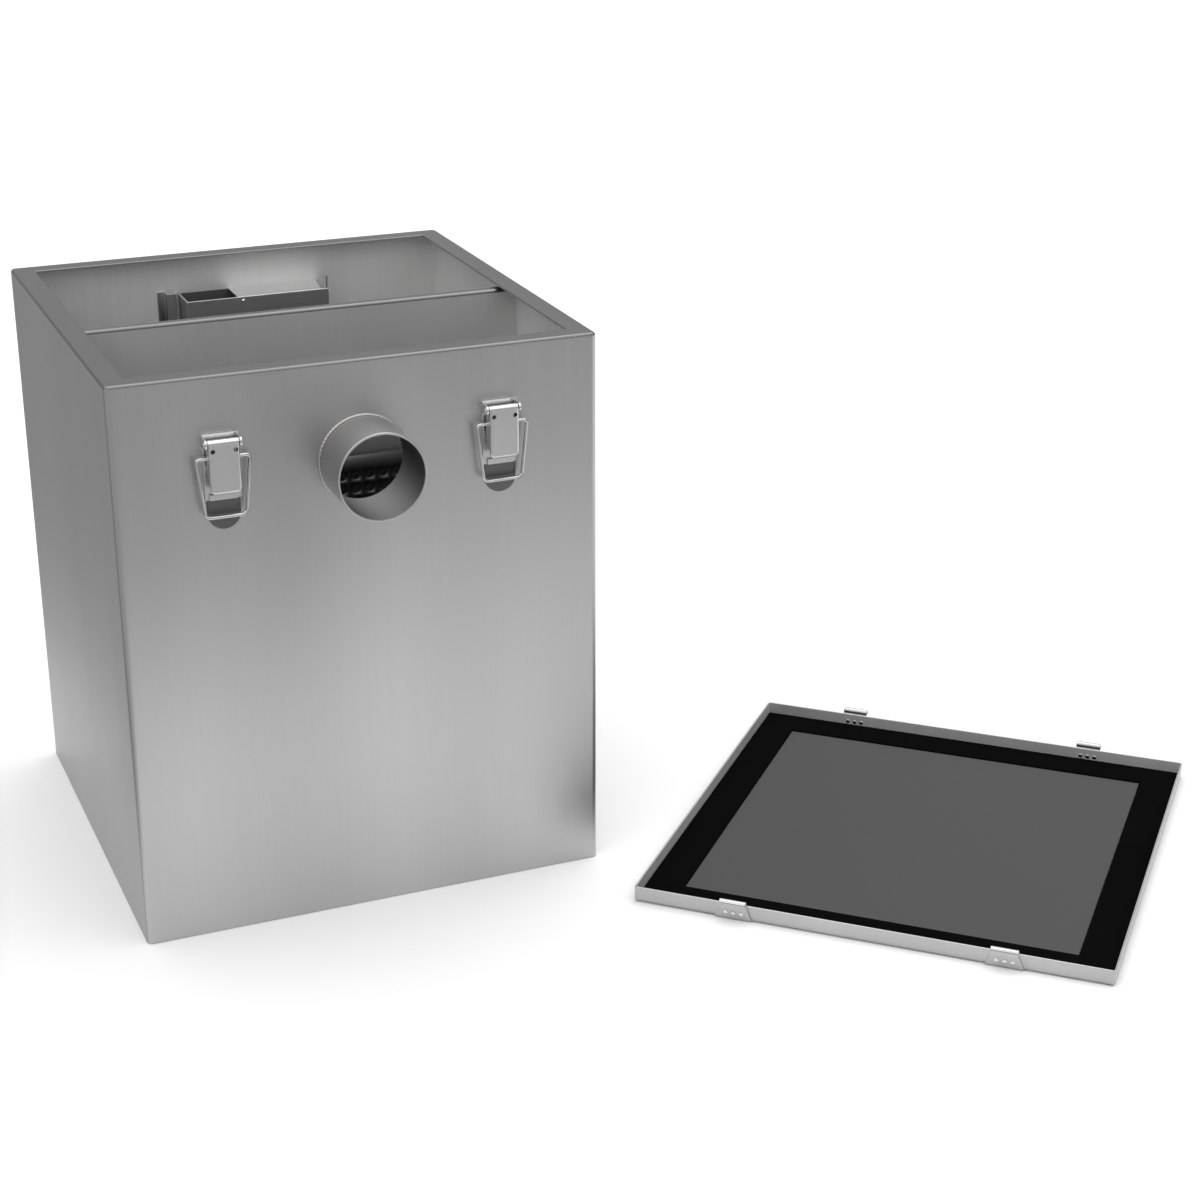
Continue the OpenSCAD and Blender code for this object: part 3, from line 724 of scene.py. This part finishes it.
def punched(name, origin, right, up, width, height, thick, node):
    """A sheet from origin, width along right and height along up, with a grid of round holes.
    Each cell's edge is cut in three along every side, to match the hole's twelve points."""
    columns = int((width - 2 * MARGIN) // PITCH)
    rows = int((height - 2 * MARGIN) // PITCH)
    left, foot = (width - columns * PITCH) / 2, (height - rows * PITCH) / 2
    angle = np.radians(np.arange(12) * 30 + 45)
    hole = HOLE * np.stack([np.cos(angle), np.sin(angle)], -1)
    cell = np.array([(3, 3), (1, 3), (-1, 3), (-3, 3), (-3, 1), (-3, -1),
                     (-3, -3), (-1, -3), (1, -3), (3, -3), (3, -1), (3, 1)]) / 6 * PITCH
    cells = np.meshgrid(np.arange(columns), np.arange(rows), indexing="ij")
    i, j = (index.ravel() for index in cells)
    centre = np.stack([left + (i + 0.5) * PITCH, foot + (j + 0.5) * PITCH], -1)[:, None]
    flat = np.concatenate([centre + cell, centre + hole], 1).reshape(-1, 2)
    k = np.arange(12)
    quad = np.stack([k, (k + 1) % 12, 12 + (k + 1) % 12, 12 + k], -1)
    faces = (24 * np.arange(len(i))[:, None, None] + quad).reshape(-1, 4).tolist()
    x0, x1, y0, y1 = left, width - left, foot, height - foot
    across = np.arange(1, 3 * columns) * PITCH / 3 + left
    along = np.arange(1, 3 * rows) * PITCH / 3 + foot
    for outer, inner, last in (
        ([(0, 0), (width, 0), (x1, y0)], points_at(across[::-1], y0), (x0, y0)),
        ([(width, 0), (width, height), (x1, y1)], points_at(x1, along[::-1]), (x1, y0)),
        ([(width, height), (0, height), (x0, y1)], points_at(across, y1), (x1, y1)),
        ([(0, height), (0, 0), (x0, y0)], points_at(x0, along), (x0, y1)),
    ):
        start = len(flat)
        flat = np.vstack([flat, outer, inner, last])
        faces.append(list(range(start, len(flat))))
    points = np.array(origin) + flat[:, :1] * np.array(right) + flat[:, 1:] * np.array(up)
    made = piece(name, (points, faces), "basket", basket_steel, [node])
    build = bmesh.new()
    build.from_mesh(made.data)
    bmesh.ops.remove_doubles(build, verts=build.verts, dist=1e-5)
    build.to_mesh(made.data)
    build.free()
    wall = made.modifiers.new("thickness", "SOLIDIFY")
    wall.thickness = thick
    wall.offset = -1
    print(name, columns, "x", rows, "holes")


# %% Basket panels
low, high = corners("basket_floor")
base = low[2]
top_edge = corners("basket_front")[1][2]
thick = high[2] - low[2]
(x0, y0), (x1, y1) = low[:2], high[:2]
long, short, foot = x1 - x0, y1 - y0, base + thick
punched(
    "basket_bottom", (x0, y0, foot), (1, 0, 0), (0, 1, 0), long, short, thick, "basket_floor")
for side, corner, right, width in (
    ("front", (x0, y0, foot), (1, 0, 0), long),
    ("rear", (x1, y1, foot), (-1, 0, 0), long),
    ("left", (x0, y1 - thick, foot), (0, -1, 0), short - 2 * thick),
    ("right", (x1, y0 + thick, foot), (0, 1, 0), short - 2 * thick),
):
    punched(
        "basket_side_" + side, corner, right, (0, 0, 1), width, top_edge - foot, thick,
        "basket_" + side)

# %% [markdown]
# ## The basket's rim, rails and handle
# A narrow flange stiffens the basket's edge and two angles carry it. The handle is round wire
# with its ends through two tabs. A wire is a circle carried along a path: the path's straight
# runs are joined by true arcs, which a Bezier curve would only come near to.

# %% Basket rim and rails
low, high = corners("basket_rim")
middle = (low + high) / 2
flange, rim_t = x0 - low[0], high[2] - low[2]
roll = rim_t / 2
rim_profile = np.vstack([
    [(flange, low[2]), (roll + GUARD, low[2])],
    arc((roll, middle[2]), roll, 270, 90, 6),
    [(roll + GUARD, high[2]), (flange, high[2])],
])
rim_grid = round_the_outline(rim_profile, *(high - low)[:2] / 2, 3 * MM)
rim_grid[..., :2] += middle[:2]
piece(
    "basket_flange", skin(rim_grid, loop_rows=True), "basket", basket_steel,
    ["basket_rim"])
for name in ("basket_rail_left", "basket_rail_right"):
    softened(name, inner_steel)
print("basket flange", round(flange / MM, 1), "mm wide")


# %% Wires
def bent_path(points, bends, steps=8):
    """Straight runs joined by arcs: at each inner corner the arc's centre lies on the line that
    halves the corner, bend_r / sin(half) away, and its points turn evenly between the runs."""
    points = np.array(points, float)
    path = [points[:1]]
    for before, corner, after, bend_r in zip(points, points[1:], points[2:], bends):
        a = (before - corner) / np.linalg.norm(before - corner)
        b = (after - corner) / np.linalg.norm(after - corner)
        half = math.acos(np.clip(a @ b, -1, 1)) / 2
        centre = corner + (a + b) / np.linalg.norm(a + b) * bend_r / math.sin(half)
        back = bend_r / math.tan(half)
        first, last = corner + a * back - centre, corner + b * back - centre
        swing = math.pi - 2 * half
        t = np.linspace(0, 1, steps + 1)[:, None]
        round_it = np.sin((1 - t) * swing) * first + np.sin(t * swing) * last
        path.append(centre + round_it / math.sin(swing))
    path.append(points[-1:])
    return np.vstack(path)


def wire(path, plane, radius, around=20):
    """A circle carried along a flat path. One of the circle's axes is the plane's normal and the
    other lies across the path. The two ends narrow a little, as a sawn and filed end does."""
    ahead = np.gradient(path, axis=0)
    ahead[0], ahead[-1] = path[1] - path[0], path[-1] - path[-2]
    ahead /= np.linalg.norm(ahead, axis=1)[:, None]
    size = np.array([0.7, *[1] * len(path), 0.7]) * radius
    start, end = path[0] + 0.3 * radius * ahead[0], path[-1] - 0.3 * radius * ahead[-1]
    path = np.vstack([path[:1], start, path[1:-1], end, path[-1:]])
    ahead = np.vstack([ahead[:1], ahead, ahead[-1:]])
    across = np.cross(ahead, plane)
    angle = np.linspace(0, 2 * math.pi, around, endpoint=False)[:, None]
    circle = np.cos(angle) * np.array(plane, float) + np.sin(angle) * across[:, None]
    return skin(path[:, None] + size[:, None, None] * circle, ends=True)


# %% The basket's handle and tabs
pivot = np.array(joints["handle_fold"]["pos_m"])
low, high = corners("basket_handle")
handle_r, crank = 2 * MM, 10.7 * MM
leg = -low[0] - crank
tip = high[0]
reach = pivot[1] - low[1] - handle_r
handle_path = bent_path(
    [(-tip, 0, 0), (-leg, 0, 0), (-leg, -reach, 0), (leg, -reach, 0), (leg, 0, 0), (tip, 0, 0)],
    [4 * MM, 9 * MM, 9 * MM, 4 * MM])
piece(
    "basket_bail", wire(handle_path + pivot, (0, 0, 1), handle_r), "basket_handle",
    bright_steel, ["basket_handle"])

tab_top = corners("basket_left")[1][2]
tab_half, tab_round = 10 * MM, 5 * MM
tab_outline = np.vstack([
    [(pivot[1] - tab_half, top_edge), (pivot[1] + tab_half, top_edge)],
    arc((pivot[1] + tab_half - tab_round, tab_top - tab_round), tab_round, 0, 90),
    arc((pivot[1] - tab_half + tab_round, tab_top - tab_round), tab_round, 90, 180),
])
drill_r = handle_r + 0.05 * MM
for side, x in (("left", x0), ("right", x1 - thick)):
    tab = piece(
        "basket_tab_" + side, prism(tab_outline, x, thick), "basket", basket_steel)
    drill = lathe([(drill_r, -0.01), (drill_r, 0.01)], (x, *pivot[1:]), (1, 0, 0), 32)
    bored(tab, skin(drill, ends=True))
    soften(tab, 0.2 * MM)
print("handle", round(reach / MM, 1), "mm long, legs at", round(leg / MM, 1))

# %% [markdown]
# ## The latches
# Four draw latches clamp the lid. Each has a base with two ears, a lever that turns on a pin, and
# a wire bail that hangs from the lever. They are the same part on two walls, so each is worked
# out once about its pin, with the wall at y = 0, and then placed by a turn of nothing or half a
# circle. Mirroring would place them too, but it turns a mesh inside out.

# %% Placing a latch
LATCHES = ("front_left", "front_right", "rear_left", "rear_right")
latch_x, pin_at, pin_z = joints["lever_swing_front_left"]["pos_m"]
pin_y = half_y - abs(pin_at)


def placed(points, side):
    """Moves points drawn about a pin to one of the four latches."""
    x, y, z = joints["lever_swing_" + side]["pos_m"]
    way = 1 if side.startswith("front") else -1
    points = points * (way, way, 1)
    return points + (x, -way * half_y, z)


def placed_skin(shape, side):
    points, faces = shape
    return placed(points, side), faces


print("pin", round(-pin_y / MM, 1), "mm off the wall")

# %% Latch bases
PLATE = 1.5 * MM
low, high = corners("latch_base_front_left")
wide = (high[0] - low[0]) / 2
drop = low[2] - pin_z
tongue_r, step = 14 * MM, -50 * MM
base_plate = prism([(-wide, step), (wide, step), (wide, 6 * MM), (-wide, 6 * MM)], -PLATE, PLATE, "y")
tongue_outline = np.vstack([
    [(tongue_r, step), (-tongue_r, step)],
    arc((0, drop + tongue_r), tongue_r, 180, 360, 16),
])
tongue_skin = prism(tongue_outline, -PLATE, PLATE, "y")
ridge = block((-12 * MM, -PLATE - 2 * MM, step), (12 * MM, -PLATE, step + 5 * MM))
ear_r = 4.2 * MM
ear_outline = np.vstack([
    [(-PLATE, ear_r), (-PLATE, -ear_r)],
    arc((pin_y, 0), ear_r, 270, 90, 12),
])
ears = [prism(ear_outline, x, 2 * MM) for x in (-wide, wide - 2 * MM)]
for side in LATCHES:
    body = placed_skin(together(base_plate, ridge, *ears), side)
    piece(
        "latch_plate_" + side, body, "tank", pressed_steel,
        ["latch_base_" + side], bevel=0.35 * MM)
    piece(
        "latch_tongue_" + side, placed_skin(tongue_skin, side), "tank",
        dark_pressing, bevel=0.4 * MM)
print("latch bases", round(2 * wide / MM, 1), "mm wide")

# %% [markdown]
# The lever is a pressed channel: a flat face, soft bends at both sides, and side flanges that
# reach back to the bail. Its lower edge is curled in so that it doesn't cut a finger. Across it
# runs one profile, whose flange depth, half width and curl are functions of the height.

# %% Levers
LEVER = 1.2 * MM
low, high = corners("lever_front_left")
lever_half = (high[0] - low[0]) / 2 - LEVER / 2
lever_face = low[1] + half_y + LEVER / 2
lever_low = low[2] - pin_z + LEVER / 2
flange_back = high[1] + half_y
lever_bend, lever_corner = 1.2 * MM, 4 * MM


def lever_sheet():
    """Row by row down the lever: half width, front and flange depth follow the height z. The
    lower corners and the curl at the bottom are quarter circles, 1 - sqrt(1 - share squared)."""
    curl = 1.6 * MM
    corner_z = lever_low + lever_corner
    rounding = np.sin(np.linspace(0, math.pi / 2, 14)[1:])
    z = np.concatenate([np.linspace(0, corner_z, 22), corner_z - lever_corner * rounding])
    down = np.clip((corner_z - z) / lever_corner, 0, 1)
    half = lever_half - lever_corner * (1 - np.sqrt(1 - 0.985 * down ** 2))
    inward = np.clip((lever_low + curl - z) / curl, 0, 1)
    front = lever_face + curl * (1 - np.sqrt(1 - 0.99 * inward ** 2))
    ends = np.array([0, -3.5, -6.5, -22, -37, -39, -60]) * MM
    depth = np.array([0.3, 0.3, 1, 1, 0.16, 0.05, 0.05]) * (flange_back - lever_face)
    back = np.maximum(np.interp(-z, -ends, depth) + lever_face, front + lever_bend + 0.2 * MM)
    turn = arc((0, 0), lever_bend, 180, 270, 5)
    left = np.empty((len(z), 8, 2))
    left[:, 0] = np.stack([-half, back], -1)
    left[:, 1:7] = np.stack([-half + lever_bend, front + lever_bend], -1)[:, None] + turn
    left[:, 7] = np.stack([-half + lever_bend + GUARD, front], -1)
    right = left[:, ::-1] * (-1, 1)
    across = np.concatenate([left, right], 1)
    height = np.broadcast_to(z[:, None, None], across[..., :1].shape)
    return skin(np.concatenate([across, height], -1), loop_columns=False)


knuckle_r, knuckle_bore, chamfer = 3.6 * MM, 1.55 * MM, 0.4 * MM
knuckle_half = lever_half + LEVER / 2
knuckle_end = np.array([
    (knuckle_r, knuckle_half - chamfer), (knuckle_r - chamfer, knuckle_half),
    (knuckle_bore, knuckle_half)])
knuckle_profile = np.vstack([knuckle_end[::-1] * (1, -1), knuckle_end])
knuckle = skin(lathe(knuckle_profile, (0, pin_y, 0), (1, 0, 0), 40), loop_rows=True)
relief_x, relief_z, drill = 9.4 * MM, -5.2 * MM, [(1.9 * MM, -0.016), (1.9 * MM, -0.010)]
relief = [
    skin(lathe(drill, (x, 0, relief_z), (0, 1, 0), 24), ends=True) for x in (-relief_x, relief_x)
]
for side in LATCHES:
    lever = piece(
        "lever_plate_" + side, placed_skin(lever_sheet(), side), "lever_" + side,
        pressed_steel, ["lever_" + side])
    wall = lever.modifiers.new("thickness", "SOLIDIFY")
    wall.thickness = LEVER
    wall.offset = 0
    bored(lever, *[placed_skin(cutter, side) for cutter in relief])
    piece(
        "lever_knuckle_" + side, placed_skin(knuckle, side), "lever_" + side,
        bright_steel)
print("levers", len(lever.data.polygons), "faces each")

# %% Bails, pins and rivets
hang = joints["bail_swing_front_left"]["pos_m"][2] - pin_z
bail_y = half_y - abs(joints["bail_swing_front_left"]["pos_m"][1])
bail_r = 1.5 * MM
bail_low = corners("bail_front_left")[0][2] + bail_r - pin_z
bail_tip, bail_top, bail_foot = 10 * MM, 22.5 * MM, 17 * MM
bail_path = bent_path(
    [(-bail_tip, 0, hang), (-bail_top, 0, hang), (-bail_foot, 0, bail_low),
     (bail_foot, 0, bail_low), (bail_top, 0, hang), (bail_tip, 0, hang)],
    [3 * MM, 5.5 * MM, 5.5 * MM, 3 * MM]) + (0, bail_y, 0)
bail = wire(bail_path, (0, 1, 0), bail_r)
pin_tip = corners("latch_pin_front_left")[1][0] - latch_x
head_arc = arc((0, 0), 1, 0, 86, 5) * (2.5 * MM, pin_tip - wide) + (0, wide)
pin_half = np.vstack([[(1.5 * MM, 0), (1.5 * MM, wide)], head_arc])
pin_profile = np.vstack([pin_half[:0:-1] * (1, -1), pin_half])
pin = skin(lathe(pin_profile, (0, pin_y, 0), (1, 0, 0), 28), ends=True)
rivets = []
for side in LATCHES:
    piece(
        "bail_wire_" + side, placed_skin(bail, side), "bail_" + side, wire_steel,
        ["bail_" + side])
    piece(
        "pin_" + side, placed_skin(pin, side), "tank", bright_steel,
        ["latch_pin_" + side])
    for z in (-19 * MM, -36 * MM):
        outer = dome((0, -PLATE, z), (0, -1, 0), 3 * MM, 1 * MM, 0.2 * MM)
        inner = dome((0, sheet, z), (0, 1, 0), 3 * MM, 1 * MM, 0.2 * MM)
        rivets.append(placed_skin(together(outer, inner), side))
piece(
    "latch_rivet_heads", together(*rivets), "tank", bright_steel,
    ["latch_rivets"])
print("bail", round((hang - bail_low) / MM, 1), "mm long,", 2 * len(rivets), "rivet heads")

# %% [markdown]
# ## The lid
# The lid lies upside down beside the tank: a shallow pan with a rubber gasket round its edge, a
# grey liner inside that, and four strikes whose hooks take the bails. All of it is drawn about the
# lid's own centre and then turned and moved. The turn is measured from two of the strikes.

# %% Placing the lid
low, high = corners("lid_pan")
lid_centre = (low + high) / 2 * (1, 1, 0)
strike_middles = [np.mean(corners("strike_near_" + side), axis=0) for side in ("left", "right")]
along = strike_middles[1] - strike_middles[0]
lid_turn = math.atan2(along[1], along[0])
strike_x = math.hypot(along[0], along[1]) / 2
spread = abs(math.cos(lid_turn)) + abs(math.sin(lid_turn))
lid_lip = high[2]
lid_corner = 3 * MM
lid_half = ((high[0] - low[0]) / 2 + lid_corner * (spread - 1)) / spread


def on_lid(shape, quarter_turns=0):
    """Turns a skin drawn about the lid's centre, by half a circle too if asked, and places it."""
    points, faces = shape
    angle = lid_turn + quarter_turns * math.pi / 2
    c, s = math.cos(angle), math.sin(angle)
    return points @ np.array([[c, s, 0], [-s, c, 0], [0, 0, 1]]) + lid_centre, faces


print("lid", round(2 * lid_half / MM, 1), "mm square, turned", round(math.degrees(lid_turn), 1))

# %% The lid's pan
lid_t = 1.5 * MM
below_lip = lid_lip - 0.8 * MM - GUARD
pan_profile = np.vstack([
    [(0.15, lid_t), (0.05, lid_t), (lid_corner + GUARD, lid_t)],
    arc((lid_corner, lid_corner), lid_corner - lid_t, 270, 180, 5),
    [(lid_t, lid_corner + GUARD), (lid_t, below_lip)],
    arc((lid_t / 2, lid_lip - lid_t / 2), lid_t / 2, 0, 180, 8),
    [(0, below_lip), (0, lid_corner + GUARD)],
    arc((lid_corner, lid_corner), lid_corner, 180, 270, 6),
    [(lid_corner + GUARD, 0), (0.05, 0), (0.15, 0)],
])
pan_grid = round_the_outline(pan_profile, lid_half, lid_half, lid_corner)
lid_grain = {"grain": (1300, 10, 40), "turned": lid_turn + math.pi / 2, "wave": 0.0003}
lid_steel = brushed("lid_steel", 0.44, 0.32, **lid_grain)
# The lip's inner faces take a lighter, rougher copy of the lid's steel. The lighter tone is painted
# reflection.
lip_steel = brushed("lip_steel", 0.72, 0.65, **lid_grain)
tray = piece(
    "lid_tray", on_lid(skin(pan_grid, ends=True)), "lid", lid_steel, ["lid_pan"])
centres, normals = facing(tray.data)
outward = ((centres - lid_centre)[:, :2] * normals[:, :2]).sum(1)
repaint(tray, lip_steel, outward < -0.5 * (lid_half - lid_t))
print("pan", pan_grid.shape[:2], "points")

# %% Gasket and liner
low, high = corners("lid_gasket")
gasket_half = (high[0] - low[0]) / 2 / spread
gasket_wide, round_r = 34 * MM, 0.9 * MM
gasket_profile = np.vstack([
    arc((round_r, low[2] + round_r), round_r, 270, 180, 4),
    arc((round_r, high[2] - round_r), round_r, 180, 90, 4),
    arc((gasket_wide - round_r, high[2] - round_r), round_r, 90, 0, 4),
    arc((gasket_wide - round_r, low[2] + round_r), round_r, 0, -90, 4),
])
gasket_grid = round_the_outline(gasket_profile, gasket_half, gasket_half, 1.5 * MM, 0.8 * MM)
piece(
    "gasket_band", on_lid(skin(gasket_grid, loop_rows=True)), "lid", rubber,
    ["lid_gasket"])

low, high = corners("lid_liner")
liner_half = (high[0] - low[0]) / 2 / spread
liner = block((-liner_half, -liner_half, low[2]), (liner_half, liner_half, high[2]))
piece(
    "liner_sheet", on_lid(liner), "lid", liner_skin, ["lid_liner"], bevel=0.3 * MM)
print("gasket", round(2 * gasket_half / MM), "mm outside, liner", round(2 * liner_half / MM), "mm")

# %% [markdown]
# A strike is one strip of plate: flat against the lip, where it narrows, and then rolled outward
# into a hook. Its middle surface is a path, wide in one direction; Solidify adds the thickness.

# %% Strikes
STRIP, HOOK_GAP = 1.2 * MM, 1.9 * MM
hook_top = corners("strike_near_left")[1][2]
hook_r = HOOK_GAP + STRIP / 2
hook_z = hook_top - HOOK_GAP - STRIP
inner_y, outer_y = -STRIP / 2, -STRIP / 2 - 2 * hook_r
strip_path = np.vstack([
    points_at(inner_y, np.linspace(1 * MM, lid_lip - 2 * MM, 12)),
    [(inner_y, hook_z - 0.4 * MM)],
    arc((inner_y - hook_r, hook_z), hook_r, 0, 180, 12),
    [(outer_y, hook_z - 2 * MM), (outer_y, hook_z - 3.4 * MM)],
])
half_wide = np.full(len(strip_path), 12 * MM)
half_wide[:12] = np.linspace(17 * MM, 12 * MM, 12)
half_wide[-1] = 11.2 * MM
t = np.linspace(-1, 1, 13)
strip_grid = np.empty((len(strip_path), len(t), 3))
strip_grid[..., 0] = half_wide[:, None] * t
strip_grid[..., 1:] = strip_path[:, None]
strip_grid[..., 1] -= lid_half
strike_steel = brushed("strike_steel", 0.42, 0.26, (40, 40, 1800), wave=0.0001)
rivet_r, rivet_z = 2.1 * MM, 6.5 * MM
heads = []
for far, quarter, near_way in (("near", 0, 1), ("far", 2, -1)):
    for side, way in (("left", -1), ("right", 1)):
        x = near_way * way * strike_x
        shape = skin(strip_grid + (x, 0, 0), loop_columns=False)
        strike = piece(
            f"strike_plate_{far}_{side}", on_lid(shape, quarter), "lid",
            strike_steel, [f"strike_{far}_{side}"])
        wall = strike.modifiers.new("thickness", "SOLIDIFY")
        wall.thickness = STRIP
        wall.offset = 0
        soften(strike, 0.25 * MM)
        for k in (-1, 0, 1):
            spot, out, back = x + k * 7 * MM, -lid_half - STRIP, -lid_half + lid_t
            outer = dome((spot, out, rivet_z), (0, -1, 0), rivet_r, 1 * MM, 0.2 * MM)
            inner = dome((spot, back, rivet_z), (0, 1, 0), rivet_r, 0.5 * MM, 0.2 * MM)
            heads.append(on_lid(together(outer, inner), quarter))
piece(
    "strike_rivet_heads", together(*heads), "lid", bright_steel,
    ["strike_rivets"])
print(2 * len(heads), "rivet heads on the lid, hooks", round(hook_top / MM, 1), "mm high")

# %% [markdown]
# ## Floor and light
# Steel shows whatever surrounds it. A pale floor gives the walls their tone, and it is less pale
# towards the front and the left, so the walls darken upwards as they look further out over it.
# The light is a sky that is brightest overhead, so that it reaches down into the tank, and two
# wide lamps whose soft edges draw the highlights.

# %% The floor
reach = np.array([0.4, 0.8, 1.2, 1.6, 2, 2.6, 3.5, 6, 14])
angle = np.linspace(0, 2 * math.pi, 64, endpoint=False)
rings = reach[:, None, None] * np.stack([np.cos(angle), np.sin(angle), 0 * angle], -1)
points, faces = skin(rings)
faces.append(list(range(len(angle))))
floor_mesh = bpy.data.meshes.new("floor")
floor_mesh.from_pydata((points - (0, 0, 0.2 * MM)).tolist(), [], faces)
floor = bpy.data.objects.new("floor", floor_mesh)
bpy.context.scene.collection.objects.link(floor)

pale = Finish("pale_floor", Roughness=0.9)
x, y = pale.along("X"), pale.along("Y")
# Painted shade: the floor is darker in a band towards the front and one towards the left, for the
# walls to mirror.
ahead = (x * -0.387 - y * 0.922).between(0.64, 0.90)
left = (x * -0.989 + y * 0.149).between(0.29, 0.46)
grain = pale.noise((30, 30, 30), 3.0)
DARKER = 0.52
pale.grey(0.82 - ahead * DARKER - (1 - ahead) * left * DARKER + (grain - 0.5) * 0.01)
floor_mesh.materials.append(pale.material)
floor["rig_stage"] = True
print("floor", 2 * reach[-1], "m across")


# %% Sky and lamps
sky = bpy.data.worlds.new("sky")
sky.use_nodes = True
tree = sky.node_tree
glow = tree.nodes["Background"]
glow.inputs["Color"].default_value = (1, 1, 1, 1)
where = tree.nodes.new("ShaderNodeTexCoord")
split = tree.nodes.new("ShaderNodeSeparateXYZ")
rise = tree.nodes.new("ShaderNodeMapRange")
rise.interpolation_type = "SMOOTHSTEP"
brightness = {"From Min": 0.25, "From Max": 0.85, "To Min": 0.45, "To Max": 1.75}
for socket, value in brightness.items():
    rise.inputs[socket].default_value = value
tree.links.new(where.outputs["Generated"], split.inputs["Vector"])
tree.links.new(split.outputs["Z"], rise.inputs["Value"])
tree.links.new(rise.outputs["Result"], glow.inputs["Strength"])
bpy.context.scene.world = sky


def lamp(name, place, aim, size, power):
    """A square area light at place that shines towards aim."""
    light = bpy.data.lights.new(name, "AREA")
    light.size = size
    light.energy = power
    holder = bpy.data.objects.new(name, light)
    holder.location = place
    holder.rotation_euler = (aim - Vector(place)).to_track_quat("-Z", "Y").to_euler()
    bpy.context.scene.collection.objects.link(holder)


tank_middle = Vector((0, 0, 0.3))
lamp("overhead", (0.6, 0.4, 2.6), tank_middle, 1.6, 12)
lamp("front_left", (-2.2, -1.6, 1.9), tank_middle, 1.2, 8)
bpy.context.scene.view_settings.view_transform = "Standard"

# %% Sizes and finish
sizes = {"cad": cad_bounds, "visual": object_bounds()}
lists = {name: [[float(v) for v in corner] for corner in pair] for name, pair in sizes.items()}
for name, pair in lists.items():
    print(name, [[round(v, 4) for v in corner] for corner in pair])
